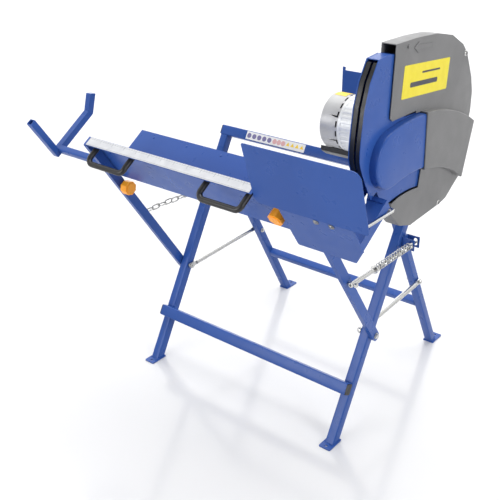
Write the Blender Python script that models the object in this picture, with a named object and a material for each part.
"""Tilting-trough log saw: fixed leg frame, motor, blade and hood, with a rocking trough that feeds the log.

Metres, +Z up. X runs along the arbor, the operator stands on the -Y side.
"""
import math

import bpy
import bmesh
from mathutils import Vector

# ---------------------------------------------------------------- driving dimensions
GAP = 0.0003
PIVOT_Y, PIVOT_Z = 0.1023, 0.3107
FRONT_SLOPE, FRONT_FOOT_Y = 0.5586, -0.0897
REAR_SLOPE, REAR_FOOT_Y = 0.5472, 0.6303
FRONT_LEAN, REAR_LEAN = -math.atan(FRONT_SLOPE), math.atan(REAR_SLOPE)
ROCKER_LEAN = math.radians(34.05)
FRONT_LEG_X, REAR_LEG_X = 0.3794, 0.33645
FRONT_LEG_DEPTH, REAR_LEG_DEPTH = 0.032, 0.026
LEG_WIDTH, REAR_LEG_WIDTH = 0.030, 0.0295
TOP_TUBE_START, TOP_TUBE_SIZE = 0.8463, 0.034
CROSSBAR_LOW, CROSSBAR_HIGH, CROSSBAR_DEPTH = 0.1655, 0.2025, 0.0285
BRACE_X = 0.3578
JOINT_Y, JOINT_Z = 0.2905, 0.640
BRACE_END_Y, BRACE_END_Z = 0.4656, 0.328
ROCKER_LEG_X, ROCKER_LEG_WIDTH = 0.4035, 0.015
LEG_TOP, LIP_U = 0.6655, 0.668
WALL_V, SHEET = 0.016, 0.002
TRAY_U = 0.522
ARBOR_Y, ARBOR_Z = 0.2275, 0.915
BLADE_X, BLADE_RADIUS, TOOTH_COUNT = 0.448, 0.225, 48
MOTOR_RADIUS = 0.084
HOOD_LEFT, HOOD_RIGHT, HOOD_SPLIT = 0.427, 0.470, 0.4487
GUARD_LEFT, GUARD_RIGHT, BULGE_X = 0.430, 0.463, 0.488
ARBOR_R = math.hypot(ARBOR_Y - PIVOT_Y, ARBOR_Z - PIVOT_Z)
STUD_U, PIN_U = 0.290, 0.311
SPRING_X, SPRING_Z = 0.425, 0.566
CHAIN_X, CHAIN_STEP, ANCHOR_Y = -0.4225, 0.0027, 0.2325
LINK_HALF, LINK_REACH, CHAIN_WIRE, LINKS_IN_HALF = 0.0093, 0.0078, 0.0022, 5
STUD_RADIUS = 0.0035
BAR_U, BAR_V, BAR_SIZE = 0.4955, 0.020, 0.022
SHADE_ANGLE = math.radians(32)

for old in list(bpy.data.objects):
    bpy.data.objects.remove(old, do_unlink=True)


# ---------------------------------------------------------------- materials
def make_material(name, colour, roughness=0.45, metallic=0.0):
    material = bpy.data.materials.new(name)
    material.use_nodes = True
    shader = material.node_tree.nodes["Principled BSDF"]
    shader.inputs["Base Color"].default_value = (*colour, 1.0)
    shader.inputs["Roughness"].default_value = roughness
    shader.inputs["Metallic"].default_value = metallic
    material.diffuse_color = (*colour, 1.0)
    return material


BLUE = make_material("blue_paint", (0.045, 0.105, 0.40), 0.35)
GREY = make_material("grey_paint", (0.22, 0.22, 0.225), 0.45)
ZINC = make_material("zinc_plate", (0.72, 0.73, 0.74), 0.30, 1.0)
STEEL = make_material("blade_steel", (0.60, 0.61, 0.62), 0.30, 1.0)
ALUMINIUM = make_material("cast_aluminium", (0.74, 0.75, 0.76), 0.42, 0.9)
BLACK = make_material("black_plastic", (0.015, 0.015, 0.016), 0.5)
ORANGE = make_material("orange_plastic", (1.0, 0.27, 0.02), 0.4)
CREAM = make_material("scale_strip", (0.80, 0.78, 0.66), 0.5)
RED = make_material("red_plastic", (0.65, 0.02, 0.02), 0.4)
GREEN = make_material("green_plastic", (0.02, 0.40, 0.08), 0.4)


# ---------------------------------------------------------------- mesh helpers
def add_object(name, points, faces, material):
    mesh = bpy.data.meshes.new(name)
    mesh.from_pydata([tuple(p) for p in points], [], faces)
    tidy = bmesh.new()
    tidy.from_mesh(mesh)
    bmesh.ops.recalc_face_normals(tidy, faces=tidy.faces)
    tidy.to_mesh(mesh)
    tidy.free()
    mesh.materials.append(material)
    result = bpy.data.objects.new(name, mesh)
    bpy.context.scene.collection.objects.link(result)
    return result


def place(target, y, z, lean=0.0, x=0.0):
    """Puts an object's origin on (x, y, z) and leans it about X."""
    target.location = (x, y, z)
    target.rotation_euler = (lean, 0.0, 0.0)
    return target


def prism(name, outline, low, high, axis="X", material=BLUE):
    """Extrudes an outline along one axis: the outline gives the other two coordinates in XYZ order."""
    ring = {
        "X": lambda a, b, t: (t, a, b),
        "Y": lambda a, b, t: (a, t, b),
        "Z": lambda a, b, t: (a, b, t),
    }[axis]
    count = len(outline)
    points = [ring(a, b, low) for a, b in outline] + [ring(a, b, high) for a, b in outline]
    faces = [tuple(range(count)), tuple(range(2 * count - 1, count - 1, -1))]
    faces += [(i, (i + 1) % count, (i + 1) % count + count, i + count) for i in range(count)]
    return add_object(name, points, faces, material)


def box(name, x, y, z, material=BLUE):
    return prism(name, [(x[0], y[0]), (x[1], y[0]), (x[1], y[1]), (x[0], y[1])], *z, "Z", material)


def arc(centre, radius, start, end, steps):
    """Points on a circle, with angles in degrees from the second axis towards the first."""
    angles = [math.radians(start + (end - start) * i / steps) for i in range(steps + 1)]
    return [(centre[0] + radius * math.sin(a), centre[1] + radius * math.cos(a)) for a in angles]


def rounded(outline, radius, steps=3):
    """Rounds each corner of a polygon; radius is one number or one for each corner."""
    radii = radius if isinstance(radius, (list, tuple)) else [radius] * len(outline)
    result = []
    for i, corner in enumerate(outline):
        here = Vector(corner)
        before = (Vector(outline[i - 1]) - here).normalized()
        after = (Vector(outline[(i + 1) % len(outline)]) - here).normalized()
        if radii[i] <= 0:
            result.append(tuple(here))
            continue
        half = before.angle(after) / 2
        centre = here + (before + after).normalized() * radii[i] / math.sin(half)
        reach = radii[i] / math.tan(half)
        start, end = here + before * reach - centre, here + after * reach - centre
        for k in range(steps + 1):
            spoke = start.lerp(end, k / steps).normalized() * radii[i]
            result.append(tuple(centre + spoke))
    return result


def rectangle(a0, a1, b0, b1):
    return [(a0, b0), (a1, b0), (a1, b1), (a0, b1)]


def turned(name, profile, y, z, material, steps=24, loop=False):
    """Turns a profile of (radius, x) about an axis along X through (y, z)."""
    points, rings = [], []
    for radius, x in profile:
        count = 1 if radius == 0 else steps
        rings.append(list(range(len(points), len(points) + count)))
        turns = [2 * math.pi * (i + 0.5) / steps for i in range(count)]
        points += [(x, radius * math.cos(t), radius * math.sin(t)) for t in turns]
    faces = []
    pairs = list(zip(rings, rings[1:])) + ([(rings[-1], rings[0])] if loop else [])
    for first, second in pairs:
        for i in range(steps):
            j = (i + 1) % steps
            quad = [first[i % len(first)], first[j % len(first)],
                    second[j % len(second)], second[i % len(second)]]
            faces.append(tuple(dict.fromkeys(quad)))
    return place(add_object(name, points, faces, material), y, z)


def tube(name, path, radius, material, sides=8, loop=False):
    """Sweeps a circle along a path of points."""
    path = [Vector(p) for p in path]
    count = len(path)
    points, normal = [], None
    for i, here in enumerate(path):
        before = path[i - 1] if (loop or i > 0) else here
        after = path[(i + 1) % count] if (loop or i < count - 1) else here
        forward = (after - before).normalized()
        if normal is None:
            normal = forward.orthogonal().normalized()
        normal = (normal - forward * normal.dot(forward)).normalized()
        side = forward.cross(normal)
        for k in range(sides):
            turn = 2 * math.pi * k / sides
            points.append(here + radius * (math.cos(turn) * normal + math.sin(turn) * side))
    faces = []
    for i in range(count if loop else count - 1):
        j = (i + 1) % count
        for k in range(sides):
            m = (k + 1) % sides
            faces.append((i * sides + k, i * sides + m, j * sides + m, j * sides + k))
    if not loop:
        faces += [tuple(range(sides)), tuple(range(len(points) - sides, len(points)))]
    return add_object(name, points, faces, material)


def combine(target, other, operation):
    """Applies a Boolean with another object, which is then removed."""
    modifier = target.modifiers.new("combine", "BOOLEAN")
    modifier.operation = operation
    modifier.solver = "EXACT"
    modifier.object = other
    bpy.context.view_layer.update()
    graph = bpy.context.evaluated_depsgraph_get()
    mesh = bpy.data.meshes.new_from_object(target.evaluated_get(graph))
    target.modifiers.clear()
    target.data = mesh
    bpy.data.objects.remove(other, do_unlink=True)
    return target


def union(target, *others):
    for other in others:
        combine(target, other, "UNION")
    return target


def minus(target, *others):
    for other in others:
        combine(target, other, "DIFFERENCE")
    return target


def x_rod(name, x0, x1, y, z, radius, material=ZINC, steps=16):
    return turned(name, [(0, x0), (radius, x0), (radius, x1), (0, x1)], y, z, material, steps)


def cutter(x0, x1, y, z, radius, steps=20):
    return x_rod("cutter", x0, x1, y, z, radius, GREY, steps)


def on_rocker(target, x=0.0):
    """Local axes of the rocker: x, v (rearward) and u (up the rocker legs), with the origin on the pivot."""
    return place(target, PIVOT_Y, PIVOT_Z, ROCKER_LEAN, x)


def about_pivot(target):
    return place(target, PIVOT_Y, PIVOT_Z)


def rocker_point(v, u):
    c, s = math.cos(ROCKER_LEAN), math.sin(ROCKER_LEAN)
    return PIVOT_Y + c * v - s * u, PIVOT_Z + s * v + c * u


def polar(radius, angle):
    """(y, z) from the pivot, with the angle in degrees from vertical towards the rear."""
    turn = math.radians(angle)
    return radius * math.sin(turn), radius * math.cos(turn)


def front_leg_point(depth, along):
    c, s = math.cos(FRONT_LEAN), math.sin(FRONT_LEAN)
    return FRONT_FOOT_Y + c * depth - s * along, s * depth + c * along


def bolt(name, inside, outside, y, z, radius, shoulder=None):
    """A hexagon bolt along X: its head is outside the stack it clamps and its nut is inside."""
    sign = 1 if outside > inside else -1
    head, nut = outside + sign * GAP, inside - sign * GAP
    shank = x_rod(name, nut - sign * 0.009, head + sign * 0.002, y, z, radius, ZINC, 16)
    for start, length in ((head, 0.006), (nut, -0.007)):
        ends = sorted((start, start + sign * length))
        union(shank, x_rod("hexagon", *ends, y, z, radius * 1.75, ZINC, 6))
        lip = sorted((start, start + sign * math.copysign(0.0014, length)))
        union(shank, x_rod("washer", *lip, y, z, radius * 2.1, ZINC, 20))
    if shoulder:
        union(shank, x_rod("shoulder", *sorted(shoulder), y, z, radius * 1.5, ZINC, 16))
    return shank


# ---------------------------------------------------------------- fixed frame
def leg(name, x, width, depth, length, foot_y, lean, plate, hole_y):
    """A square tube standing on a welded foot plate: plate gives its ends in Y."""
    section = rounded(rectangle(-width / 2, width / 2, 0, depth), 0.003)
    target = place(prism(name, section, -0.05, length, "Z"), foot_y, 0.0, lean, x)
    minus(target, box("floor", (x - 0.1, x + 0.1), (foot_y - 0.2, foot_y + 0.2), (-0.1, 0.002)))
    outline = rounded(rectangle(x - 0.0205, x + 0.0205, *plate), 0.004, 2)
    foot = prism("foot", outline, 0.0, 0.004, "Z")
    hole = [(x + px, hole_y + py) for px, py in arc((0, 0), 0.0045, 0, 345, 15)]
    minus(foot, prism("hole", hole, -0.01, 0.02, "Z"))
    return union(target, foot)


for side, word in ((-1, "left"), (1, "right")):
    front = leg(f"front_leg_{word}", side * FRONT_LEG_X, LEG_WIDTH, FRONT_LEG_DEPTH, TOP_TUBE_START - GAP,
                FRONT_FOOT_Y, FRONT_LEAN, (FRONT_FOOT_Y - 0.025, FRONT_FOOT_Y + 0.042), FRONT_FOOT_Y - 0.0125)
    rear = leg(f"rear_leg_{word}", side * REAR_LEG_X, REAR_LEG_WIDTH, REAR_LEG_DEPTH, 0.747,
               REAR_FOOT_Y, REAR_LEAN, (REAR_FOOT_Y - 0.004, REAR_FOOT_Y + 0.065), REAR_FOOT_Y + 0.051)
    minus(front, cutter(*sorted((side * 0.35, side * 0.41)), PIVOT_Y, PIVOT_Z, 0.0053),
          cutter(*sorted((side * 0.35, side * 0.41)), JOINT_Y, JOINT_Z, 0.0043))
    for y, z, reach in ((JOINT_Y, JOINT_Z, 0.3641), (BRACE_END_Y, BRACE_END_Z, 0.3549)):
        ends = sorted((side * 0.345, side * reach))
        union(rear, x_rod("boss", *ends, y, z, 0.0085, BLUE, 18))
        minus(rear, cutter(*sorted((side * 0.31, side * 0.38)), y, z, 0.0043))
    bolt(f"leg_bolt_{word}", side * 0.3217, side * 0.3944, JOINT_Y, JOINT_Z, 0.004)
    bolt(f"brace_bolt_{word}", side * 0.3217, side * 0.3603, BRACE_END_Y, BRACE_END_Z, 0.004)
    bolt(f"pivot_bolt_{word}", side * 0.3553, side * 0.4110, PIVOT_Y, PIVOT_Z, 0.005,
         (side * 0.3607, side * 0.3640))
    start, end = Vector((side * BRACE_X, PIVOT_Y, PIVOT_Z)), Vector((side * BRACE_X, BRACE_END_Y, BRACE_END_Z))
    brace = tube(f"brace_rod_{word}", [start.lerp(end, 0.075), start.lerp(end, 0.925)], 0.008, ZINC, 16)
    for eye, other, bore in ((start, end, 0.0053), (end, start, 0.0043)):
        ends = sorted((side * (BRACE_X - 0.0025), side * (BRACE_X + 0.0025)))
        way = (other - eye).normalized()
        across = Vector((0, -way.z, way.y)) * 0.0095
        flat = [eye + across, eye - across, eye + way * 0.034 - across * 0.8, eye + way * 0.034 + across * 0.8]
        union(brace, prism("flat", [(p.y, p.z) for p in flat], *ends, "X", ZINC))
        union(brace, x_rod("eye", *ends, eye.y, eye.z, 0.0105, ZINC, 20))
        minus(brace, cutter(side * 0.34, side * 0.38, eye.y, eye.z, bore, 16))

top_end = TOP_TUBE_START + TOP_TUBE_SIZE
section = rounded(rectangle(0, TOP_TUBE_SIZE, TOP_TUBE_START, top_end), 0.003)
place(prism("top_tube", section, -0.396, 0.396), FRONT_FOOT_Y, 0, FRONT_LEAN)
section = rounded(rectangle(-CROSSBAR_DEPTH - GAP, -GAP, CROSSBAR_LOW, CROSSBAR_HIGH), 0.003)
place(prism("front_crossbar", section, -0.391, 0.391), FRONT_FOOT_Y, 0, FRONT_LEAN)
section = rounded(rectangle(0, REAR_LEG_DEPTH, 0.219, 0.245), 0.003)
place(prism("rear_crossbar", section, -0.3214, 0.3214), REAR_FOOT_Y, 0, REAR_LEAN)
for side, word in ((-1, "left"), (1, "right")):
    section = rounded(rectangle(0.001, TOP_TUBE_SIZE - 0.001, TOP_TUBE_START + 0.001, top_end - 0.001), 0.004)
    ends = sorted((side * (0.396 + GAP), side * 0.400))
    place(prism(f"top_tube_cap_{word}", section, *ends, "X", BLACK), FRONT_FOOT_Y, 0, FRONT_LEAN)
    section = rounded(rectangle(-CROSSBAR_DEPTH + 0.001, -0.001, CROSSBAR_LOW + 0.001, CROSSBAR_HIGH - 0.001), 0.004)
    ends = sorted((side * (0.391 + GAP), side * 0.395))
    place(prism(f"crossbar_cap_{word}", section, *ends, "X", BLACK), FRONT_FOOT_Y, 0, FRONT_LEAN)

# Bracket on the right front leg that guides the spring rod.
bracket = box("spring_bracket", (0.3947, 0.3977), (0.250, 0.2835), (0.548, 0.584))
for y0, y1 in ((0.250, 0.253), (0.2805, 0.2835)):
    union(bracket, box("ear", (0.395, 0.438), (y0, y1), (0.548, 0.584)))
slot = rounded(rectangle(SPRING_X - 0.0062, SPRING_X + 0.0062, SPRING_Z - 0.0125, SPRING_Z + 0.0125), 0.006)
minus(bracket, prism("slot", slot, 0.24, 0.30, "Y"))

anchor_z = rocker_point(0, STUD_U)[1]
stud = x_rod("chain_anchor", -0.4262, -0.3947, ANCHOR_Y, anchor_z, STUD_RADIUS)
union(stud, x_rod("head", -0.4300, -0.4255, ANCHOR_Y, anchor_z, 0.0065, ZINC, 6),
      x_rod("collar", -0.4100, -0.3947, ANCHOR_Y, anchor_z, 0.0075))

# ---------------------------------------------------------------- motor, shaft and blade
seat = arc((ARBOR_Y, ARBOR_Z), MOTOR_RADIUS + GAP, 146, 208, 10)
tube_front, tube_back = front_leg_point(0.0, top_end + GAP), front_leg_point(0.033, top_end + GAP)
saddle = seat + [(0.186, 0.826), (0.215, 0.806), (0.300, 0.786), tube_front, tube_back, (0.371, 0.776),
                 (0.334, 0.790)]
prism("motor_foot", saddle, 0.13, 0.23, "X", BLACK)


def ribbed(radius, depth, count):
    outline = []
    for i in range(count):
        for share, r in ((0.0, radius), (0.34, radius), (0.46, radius - depth), (0.88, radius - depth)):
            outline.append(polar(r, 360 * (i + share) / count))
    return outline


motor = place(prism("motor_shell", ribbed(MOTOR_RADIUS, 0.0014, 34), 0.2155, 0.4165, "X", ALUMINIUM),
              ARBOR_Y, ARBOR_Z)
for x0, x1 in ((0.2135, 0.2225), (0.4155, 0.4266)):
    union(motor, x_rod("rim", x0, x1, ARBOR_Y, ARBOR_Z, MOTOR_RADIUS, ALUMINIUM, 40))
minus(motor, cutter(0.20, 0.44, ARBOR_Y, ARBOR_Z, 0.0165))

cowl_profile = [(0.083, 0.2131), (0.083, 0.1525), (0.0805, 0.1505), (0.020, 0.1500), (0.020, 0.1520),
                (0.0795, 0.1525), (0.0810, 0.1545), (0.0810, 0.2131)]
cowl = turned("fan_cowl", cowl_profile, ARBOR_Y, ARBOR_Z, BLACK, 40, loop=True)
for i in range(18):
    window = prism("window", rectangle(0.2050, 0.2102, -0.0090, 0.0090), 0.07, 0.09, "Z")
    window.location = (0, ARBOR_Y, ARBOR_Z)
    window.rotation_euler = (math.radians(20 * i), 0, 0)
    minus(cowl, window)

shaft_profile = [(0, 0.158), (0.0075, 0.158), (0.0075, 0.213), (0.0125, 0.2135), (0.0125, 0.4665),
                 (0.0105, 0.4672), (0.0105, 0.4710), (0, 0.4715)]
turned("rotor_shaft", shaft_profile, ARBOR_Y, ARBOR_Z, STEEL, 24)
turned("inner_flange", [(0.0129, 0.4335), (0.022, 0.4335), (0.022, 0.4415), (0.0425, 0.4422),
                        (0.0425, 0.4462), (0.0129, 0.4462)], ARBOR_Y, ARBOR_Z, STEEL, 32, loop=True)
turned("outer_flange", [(0.0129, 0.4498), (0.0430, 0.4498), (0.0430, 0.4520), (0.0390, 0.4545),
                        (0.0129, 0.4545)], ARBOR_Y, ARBOR_Z, STEEL, 32, loop=True)
nut = x_rod("arbor_nut", 0.4548, 0.4660, ARBOR_Y, ARBOR_Z, 0.0205, ZINC, 6)
minus(nut, cutter(0.45, 0.48, ARBOR_Y, ARBOR_Z, 0.0129, 24))

fan = turned("fan", [(0.0079, 0.1700), (0.062, 0.1700), (0.062, 0.1725), (0.018, 0.1730), (0.018, 0.1950),
                     (0.0079, 0.1950)], ARBOR_Y, ARBOR_Z, BLACK, 24, loop=True)
for i in range(7):
    vane = box("vane", (0.1715, 0.1930), (-0.0015, 0.0015), (0.016, 0.064), BLACK)
    vane.location = (0, ARBOR_Y, ARBOR_Z)
    vane.rotation_euler = (2 * math.pi * i / 7, 0, 0)
    union(fan, vane)

teeth = []
for i in range(TOOTH_COUNT):
    pitch = 360 / TOOTH_COUNT
    for share, r in ((0.0, BLADE_RADIUS), (0.10, BLADE_RADIUS - 0.011), (0.35, BLADE_RADIUS - 0.012)):
        teeth.append(polar(r, -(i + share) * pitch))
blade = place(prism("saw_blade", teeth, BLADE_X - 0.0015, BLADE_X + 0.0015, "X", STEEL), ARBOR_Y, ARBOR_Z)
minus(blade, cutter(0.44, 0.46, ARBOR_Y, ARBOR_Z, 0.0129, 24))

# ---------------------------------------------------------------- fixed hood
TOP_CORNER = (0.002, 1.216)
closed_side = [TOP_CORNER, (0.110, 1.2155), (0.214, 1.209), (0.305, 1.191), (0.379, 1.153), (0.410, 1.122),
               (0.453, 1.048), (0.469, 1.000), (0.471, 0.953), (0.450, 0.760), (0.435, 0.742),
               (0.415, 0.731), (0.362, 0.697), (0.323, 0.690), (0.149, 0.681), (0.086, 0.701),
               (0.034, 0.750), (0.030, 0.785)]
TAIL_R, TRAY_R, STEP_ANGLE = 0.4825, 0.562, 9.0
POCKET_IN, POCKET_OUT, POCKET_X = 0.541, 0.705, 0.4925


def from_pivot(radius, angle):
    y, z = polar(radius, angle)
    return PIVOT_Y + y, PIVOT_Z + z


open_side = [from_pivot(TAIL_R, a) for a in (-4.0, 0.5, 5.0, STEP_ANGLE)]
open_side += [from_pivot(TRAY_R, STEP_ANGLE), from_pivot(TRAY_R + 0.003, 6.4), from_pivot(0.708, 2.3),
              (0.128, 1.020), (0.006, 1.021), (-0.006, 1.030)]
hood_outline = closed_side + open_side


def inset(line, distance):
    """Moves an open polyline sideways, to the right of its direction of travel."""
    result = []
    for i, here in enumerate(line):
        here = Vector(here)
        ways = [(Vector(line[j + 1]) - Vector(line[j])).normalized()
                for j in (i - 1, i) if 0 <= j < len(line) - 1]
        sides = [Vector((way.y, -way.x)) for way in ways]
        middle = sum(sides, Vector((0, 0))).normalized()
        result.append(tuple(here + middle * distance / middle.dot(sides[0])))
    return result


hollow = inset(closed_side, SHEET)
hollow = [(-0.2, hollow[0][1])] + hollow + [(hollow[-1][0], 0.800), (-0.2, 0.800)]


def hood_half(name, plate_x, split_x):
    shell = prism(name, hood_outline, *sorted((plate_x, split_x)), "X", GREY)
    inward = math.copysign(SHEET, split_x - plate_x)
    cavity = sorted((plate_x + inward, split_x + inward * 5))
    return minus(shell, prism("cavity", hollow, *cavity, "X", GREY))


hood_left = hood_half("hood_left", HOOD_LEFT, HOOD_SPLIT - GAP / 2)
minus(hood_left, cutter(0.42, 0.43, ARBOR_Y, ARBOR_Z, 0.026, 28))


def ring_sector(inner, outer, start, inner_end, outer_end, steps=12):
    far = [polar(outer, start[1] + (outer_end - start[1]) * i / steps) for i in range(steps + 1)]
    near = [polar(inner, start[0] + (inner_end - start[0]) * i / steps) for i in range(steps + 1)]
    return near + far[::-1]


hood_right = hood_half("hood_right", HOOD_RIGHT, HOOD_SPLIT + GAP / 2)
pocket = about_pivot(prism("pocket", ring_sector(POCKET_IN, POCKET_OUT, (6.8, 4.4), 35.0, 30.4),
                           0.4655 + SHEET + 0.0005, POCKET_X, "X", GREY))
union(hood_right, pocket)
bite = ring_sector(POCKET_IN + SHEET, POCKET_OUT - SHEET, (-2.0, -2.0), 34.7, 30.2)
minus(hood_right, about_pivot(prism("bite", bite, 0.46, POCKET_X - SHEET, "X", GREY)))
for y, z in ((0.060, 1.201), (0.399, 1.125), (0.314, 0.697)):
    union(hood_right, x_rod("screw_head", HOOD_RIGHT - 0.001, HOOD_RIGHT + 0.004, y, z, 0.0055, GREY, 6))

# ---------------------------------------------------------------- switch
plate = box("switch_plate", (0.100, 0.250), (0.338, 0.341), (0.860, 1.036), BLUE)
union(plate, box("tab", (0.100, 0.109), (0.338, 0.341), (1.030, 1.046)))
union(plate, box("stem", (0.100, 0.1272), (0.338, 0.341), (0.7722, 0.862)))
flange_end = top_end + GAP
flange = prism("flange", rectangle(-0.003, 0.030, flange_end, flange_end + 0.003), 0.100, 0.1272, "X")
union(plate, place(flange, FRONT_FOOT_Y, 0, FRONT_LEAN))
switch_box = prism("switch_box", rounded(rectangle(0.120, 0.225, 0.3413, 0.392), 0.004, 2), 0.925, 1.020, "Z", BLACK)
for x in (0.148, 0.197):
    well = arc((x, 0.9825), 0.0145, 0, 345, 23)
    minus(switch_box, prism("well", well, 0.372, 0.40, "Y"))
for name, x, material in (("start_button", 0.148, GREEN), ("stop_button", 0.197, RED)):
    button = prism(name, arc((0, 0), 0.0138, 0, 345, 23), 0.0, 0.0215, "Y", material)
    button.location = (x, 0.3775, 0.9825)
inlet = [(0.0, 0.0), (0.021, 0.0), (0.021, -0.006), (0.018, -0.006), (0.018, -0.038), (0.0155, -0.038),
         (0.0155, -0.010), (0.0, -0.010)]
inlet_object = turned("mains_inlet", [(r, x) for r, x in inlet], 0, 0, BLACK, 24)
inlet_object.rotation_euler = (0, math.radians(-90), 0)
inlet_object.location = (0.1725, 0.3665, 0.925 - GAP)

# ---------------------------------------------------------------- rocker
for side, word in ((-1, "left"), (1, "right")):
    top = LEG_TOP if side < 0 else 0.640
    outline = rounded(rectangle(-0.015, 0.015, -0.019, top), [0.0145, 0.0145, 0.0, 0.0], 6)
    x0, x1 = sorted((side * (ROCKER_LEG_X - ROCKER_LEG_WIDTH / 2), side * (ROCKER_LEG_X + ROCKER_LEG_WIDTH / 2)))
    rocker_leg = on_rocker(prism(f"rocker_leg_{word}", outline, x0, x1))
    minus(rocker_leg, cutter(side * 0.38, side * 0.42, PIVOT_Y, PIVOT_Z, 0.0053))
    if side < 0:
        y, z = rocker_point(0, STUD_U)
        union(rocker_leg, x_rod("stud", -0.4285, -0.405, y, z, STUD_RADIUS, BLUE),
              x_rod("stud_head", -0.4325, -0.4280, y, z, 0.0065, BLUE, 6))
    else:
        y, z = rocker_point(0, PIN_U)
        minus(rocker_leg, cutter(0.38, 0.42, y, z, 0.0043))
        bolt("spring_pin", 0.3960, 0.4335, y, z, 0.004)

wall = prism("trough", rectangle(-0.408, 0.505, 0.484, 0.6400), WALL_V, WALL_V + SHEET, "Y")
tray = prism("tray", rectangle(-0.408, 0.505, WALL_V + 0.001, 0.177), TRAY_U - SHEET, TRAY_U, "Z")
upper_wall = prism("upper_wall", rectangle(-0.408, 0.2400, 0.6300, LIP_U), WALL_V, WALL_V + SHEET, "Y")
lip = prism("lip", rectangle(-0.410, 0.2400, -0.014, WALL_V + SHEET), LIP_U - SHEET / 2, LIP_U + SHEET / 2, "Z")
end_flange = prism("end_flange", rectangle(0.016 + SHEET, 0.162, 0.490, TRAY_U - 0.001), 0.503, 0.505, "X")
trough = union(wall, tray, upper_wall, lip, end_flange)
minus(trough, box("slot", (0.442, 0.455), (0.010, 0.2), (0.47, 0.600)))
minus(trough, box("step", (0.455, 0.6), (0.162, 0.2), (0.47, 0.60)))
on_rocker(trough)

on_rocker(prism("scale_strip", rectangle(-0.400, 0.232, -0.0125, 0.0165), LIP_U + SHEET / 2 + GAP,
                LIP_U + SHEET / 2 + 0.0014, "Z", CREAM))

BEND_U, PANEL_LEAN = 0.642, math.radians(16.5)
PANEL_V = -0.0173
skirt = [(0.318, 0.481), (0.500, 0.481), (0.541, 0.550), (0.541, BEND_U + 0.001), (0.318, BEND_U + 0.001)]
panel = prism("front_panel", rounded(skirt, [0.004, 0.006, 0.006, 0, 0]), PANEL_V, PANEL_V + 0.0018, "Y")
leaf = rounded(rectangle(0.242, 0.585, -0.0004, 0.181), [0.020, 0.008, 0.022, 0.006], 5)
leaf = prism("leaf", leaf, 0.0, 0.0018, "Y")
leaf.location = (0, PANEL_V, BEND_U)
leaf.rotation_euler = (-PANEL_LEAN, 0, 0)
union(panel, leaf)
on_rocker(panel)
for word, x in (("left", 0.430), ("right", 0.476)):
    head = turned(f"panel_bolt_{word}", [(0, 0), (0.0085, 0), (0.0085, 0.0012), (0.0062, 0.0020),
                                         (0.0045, 0.0042), (0, 0.0046)], 0, 0, ZINC, 16)
    head.rotation_mode = "ZYX"
    head.rotation_euler = (ROCKER_LEAN, 0, math.radians(-90))
    head.location = (x, *rocker_point(PANEL_V - GAP, 0.633))


def bow(name, x0, x1):
    """A bow handle whose two posts stand on the trough wall."""
    v_foot, v_grip, u = WALL_V - GAP, -0.058, 0.650
    bend = 0.018
    path = [(x0, v_foot, u)]
    path += [(x0 + bend - bend * math.cos(t), v_grip + bend - bend * math.sin(t), u - 0.006 * math.sin(t))
             for t in [math.pi / 2 * i / 5 for i in range(6)]]
    path += [(x1 - (x - x0), v, height) for x, v, height in path[::-1]]
    return on_rocker(tube(name, path, 0.0088, BLACK, 12))


bow("handle_left", -0.370, -0.220)
bow("handle_right", 0.073, 0.220)

rod_front, rod_back = (-0.160 - PIVOT_Y, 0.793 - PIVOT_Z), polar(0.500, -14.2)
stay_x = 0.5097
path = [(stay_x, rod_front[0], rod_back[1] - 0.001), (stay_x, rod_back[0] - 0.012, rod_back[1]),
        (stay_x - 0.003, rod_back[0] - 0.003, rod_back[1]), (stay_x - 0.012, *rod_back),
        (GUARD_RIGHT + SHEET + GAP, *rod_back)]
about_pivot(tube("stay_rod", path, 0.0042, ZINC, 10))


def knob(name, radius, height):
    """A fluted hand knob along +X with its seat at the origin."""
    outline = []
    for i in range(40):
        outline.append(polar(radius * (1 - 0.08 * (0.5 + 0.5 * math.cos(2 * math.pi * i / 5))), 9 * i))
    body = prism(name, outline, 0.007, height, "X", ORANGE)
    union(body, x_rod("hub", 0.0, 0.010, 0, 0, radius * 0.55, ORANGE, 20),
          x_rod("top", height - 0.001, height + 0.002, 0, 0, radius * 0.72, ORANGE, 24))
    return body


clamp_knob = knob("clamp_knob", 0.023, 0.032)
clamp_knob.location = (-ROCKER_LEG_X + ROCKER_LEG_WIDTH / 2 + GAP, *rocker_point(0, 0.450))
clamp_knob.rotation_euler = (ROCKER_LEAN, 0, 0)
stop_knob = knob("stop_knob", 0.023, 0.032)
stop_knob.location = (0.276, *rocker_point(WALL_V - GAP, 0.571))
stop_knob.rotation_mode = "ZYX"
stop_knob.rotation_euler = (ROCKER_LEAN, 0, math.radians(-90))

# ---------------------------------------------------------------- moving guard
front_edge = [(0.4855, -11.3), (0.492, -15.2), (0.512, -15.4), (0.527, -14.3), (0.5525, -15.18),
              (0.5427, -18.43), (0.616, -19.77), (0.636, -20.1), (0.660, -20.3), (0.679, -20.3), (0.708, -19.5),
              (0.739, -18.4), (0.800, -16.3), (0.854, -13.9), (0.897, -11.1)]
top_edge = [(0.893, -8.0), (0.880, -5.0), (0.860, -2.0)]
rear_edge = [(0.705, -2.0), (0.705, 7.5), (0.545, 12.0), (0.4855, 12.0)]
bottom_edge = [(0.4855, 12.0 - 23.3 * i / 8) for i in range(1, 8)]
guard_outline = [polar(r, a) for r, a in front_edge + top_edge + rear_edge + bottom_edge]


def radial_rim(name, line, thickness, x0, x1):
    inner = [polar(r - thickness, a) for r, a in line]
    return about_pivot(prism(name, [polar(r, a) for r, a in line] + inner[::-1], x0, x1))


def foot_of_guard(x0, x1):
    """A foot that stands on the tray, in the rocker's axes."""
    return on_rocker(prism("foot", rectangle(0.1475, 0.161, TRAY_U + GAP, TRAY_U + 0.0026), x0, x1))


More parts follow.
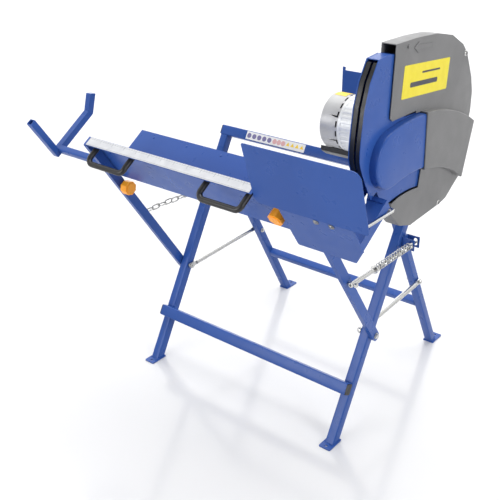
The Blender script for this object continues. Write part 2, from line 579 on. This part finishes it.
guard_left = about_pivot(prism("guard_left", guard_outline, GUARD_LEFT, GUARD_LEFT + SHEET))
web_line = [(r - 0.0006, a + 0.1) for r, a in [front_edge[-1]] + top_edge[:2]]
union(guard_left, radial_rim("web", web_line, 0.0025, GUARD_LEFT + 0.001, GUARD_RIGHT - GAP),
      foot_of_guard(0.405, GUARD_LEFT + 0.001))
slot_end = polar(ARBOR_R, -11.0)
slot = [polar(ARBOR_R + 0.028, 14 - 25 * i / 8) for i in range(9)]
slot += [(slot_end[0] - 0.028 * math.sin(t), slot_end[1] + 0.028 * math.cos(t))
         for t in [math.radians(11 + 180 * i / 10) for i in range(1, 10)]]
slot += [polar(ARBOR_R - 0.028, -11 + 25 * i / 8) for i in range(9)]
minus(guard_left, about_pivot(prism("slot", slot, 0.42, 0.44)))

BULGE_IN, BULGE_OUT = 0.545, 0.700


def bulge(name, shrink, tail, x0, x1):
    """The raised track that clears the arbor nut: a ring sector with a round nose."""
    middle, half = (BULGE_IN + BULGE_OUT) / 2, (BULGE_OUT - BULGE_IN) / 2 - shrink
    nose = polar(middle, -10.35)
    turns = [math.radians(10.35 + 180 * i / 12) for i in range(13)]
    outline = [(nose[0] - half * math.sin(t), nose[1] + half * math.cos(t)) for t in turns]
    outline += [polar(middle - half, -10.35 + (tail[0] + 10.35) * i / 8) for i in range(1, 9)]
    outline += [polar(middle + half, tail[1] - (tail[1] + 10.35) * i / 8) for i in range(0, 8)]
    return about_pivot(prism(name, outline, x0, x1))


guard_right = about_pivot(prism("guard_right", guard_outline, GUARD_RIGHT, GUARD_RIGHT + SHEET))
union(guard_right, bulge("bulge", 0.0, (11.6, 7.1), GUARD_RIGHT + 0.0005, BULGE_X),
      foot_of_guard(GUARD_RIGHT + 0.001, 0.500))
minus(guard_right, bulge("bulge_hollow", SHEET, (16.0, 12.0), GUARD_RIGHT - 0.01, BULGE_X - SHEET))

for word, x0, x1 in (("left", GUARD_LEFT + SHEET + GAP, BLADE_X - 0.0030),
                     ("right", BLADE_X + 0.0030, GUARD_RIGHT - GAP)):
    edge = [(r, a) for r, a in front_edge if r > 0.60]
    edge[-1] = (0.889, -11.5)
    outline = [polar(r, a + 0.15) for r, a in edge] + [polar(r, a + 0.45) for r, a in edge[::-1]]
    about_pivot(prism(f"slit_trim_{word}", outline, x0, x1, "X", BLACK))

# ---------------------------------------------------------------- log extension
bar_v, bar_u = (BAR_V, BAR_V + BAR_SIZE), (BAR_U, BAR_U + BAR_SIZE)
extension = prism("extension_bar", rounded(rectangle(*bar_v, *bar_u), 0.0025, 2), -0.700, -0.080)
outer, thick = 0.003, BAR_SIZE
fork = [(outer, 0.660), (outer, BAR_U), (0.204, BAR_U), (0.258, 0.541), (0.241, 0.556), (0.196, BAR_U + thick),
        (outer + thick, BAR_U + thick), (outer + thick, 0.660)]
union(extension, prism("fork", rounded(fork, [0.002, 0.004, 0.010, 0.002, 0.002, 0.006, 0.003, 0.002]),
                       -0.711, -0.689))
minus(extension, prism("bore", rounded(rectangle(-0.7085, -0.6915, outer + 0.0025, outer + thick - 0.0025),
                                       0.002, 2), 0.630, 0.70, "Z"))
on_rocker(extension)
guide = prism("bar_guide", [(0.0187, 0.4925), (0.0187, 0.4945), (0.0428, 0.4945), (0.0428, 0.5197),
                            (0.0448, 0.5197), (0.0448, 0.4925)], -0.370, -0.330)
on_rocker(guide)

# ---------------------------------------------------------------- return spring
pin_y, pin_z = rocker_point(0, PIN_U)
rod = tube("push_rod", [(SPRING_X, 0.100, 0), (SPRING_X, 0.374, 0)], 0.005, ZINC, 12)
union(rod, tube("sleeve", [(SPRING_X, -0.0100, 0), (SPRING_X, 0.113, 0)], 0.0070, ZINC, 16),
      tube("collar", [(SPRING_X, 0.111, 0), (SPRING_X, 0.1165, 0)], 0.0125, ZINC, 20))
minus(rod, tube("open_end", [(SPRING_X, -0.0200, 0), (SPRING_X, -0.0054, 0)], 0.0055, ZINC, 16))
minus(rod, cutter(0.41, 0.44, 0, 0, 0.0044))
ROD_DROP = math.atan2(SPRING_Z - pin_z, 0.26675 - pin_y)
place(rod, pin_y, pin_z, ROD_DROP)
coil, turns, steps = [], 14, 12
COIL_RADIUS, COIL_WIRE = 0.0096, 0.0017
spring_start, spring_end = 0.1186, 0.2497 - pin_y - 0.0024
for i in range(turns * steps + 1):
    share = i / (turns * steps)
    angle = 2 * math.pi * i / steps
    coil.append((SPRING_X + COIL_RADIUS * math.cos(angle),
                 spring_start + (spring_end - spring_start) * share, COIL_RADIUS * math.sin(angle)))
place(tube("return_spring", coil, COIL_WIRE, ZINC, 5), pin_y, pin_z, ROD_DROP)


# ---------------------------------------------------------------- chain
def chain_link(centre, upright):
    """One link along Y: an upright one has its opening towards X."""
    half, reach, wire = LINK_HALF, LINK_REACH, CHAIN_WIRE
    points = []
    for sign in (1, -1):
        for i in range(7):
            turn = math.pi * i / 6
            along, across = sign * (half + reach * math.sin(turn)), sign * reach * math.cos(turn)
            points.append((0 if upright else across, centre + along, across if upright else 0))
    return tube("link", points, wire, ZINC, 6, loop=True)


def chain(name, direction, x, y):
    """Half of the chain: its first link hangs on a stud of STUD_RADIUS, and its last link lies beside the other half's."""
    inside = LINK_HALF + LINK_REACH - CHAIN_WIRE
    first, pitch = inside - STUD_RADIUS - 0.0005, 2 * inside + 0.0006
    links = [chain_link(direction * (first + pitch * i), i % 2 == 0) for i in range(LINKS_IN_HALF)]
    target = union(links[0], *links[1:])
    target.name = name
    return place(target, y, anchor_z, 0.0, x)


chain("chain_front", 1, CHAIN_X - CHAIN_STEP, rocker_point(0, STUD_U)[0])
chain("chain_rear", -1, CHAIN_X + CHAIN_STEP, ANCHOR_Y)

# ---------------------------------------------------------------- shading and placing
bpy.context.view_layer.update()
corners = [o.matrix_world @ v.co for o in bpy.data.objects for v in o.data.vertices]
shift = Vector([-(min(c[i] for c in corners) + max(c[i] for c in corners)) / 2 for i in range(2)] + [0.0])
for part in bpy.data.objects:
    part.location += shift
    part.data.shade_smooth()
    part.data.set_sharp_from_angle(angle=SHADE_ANGLE)
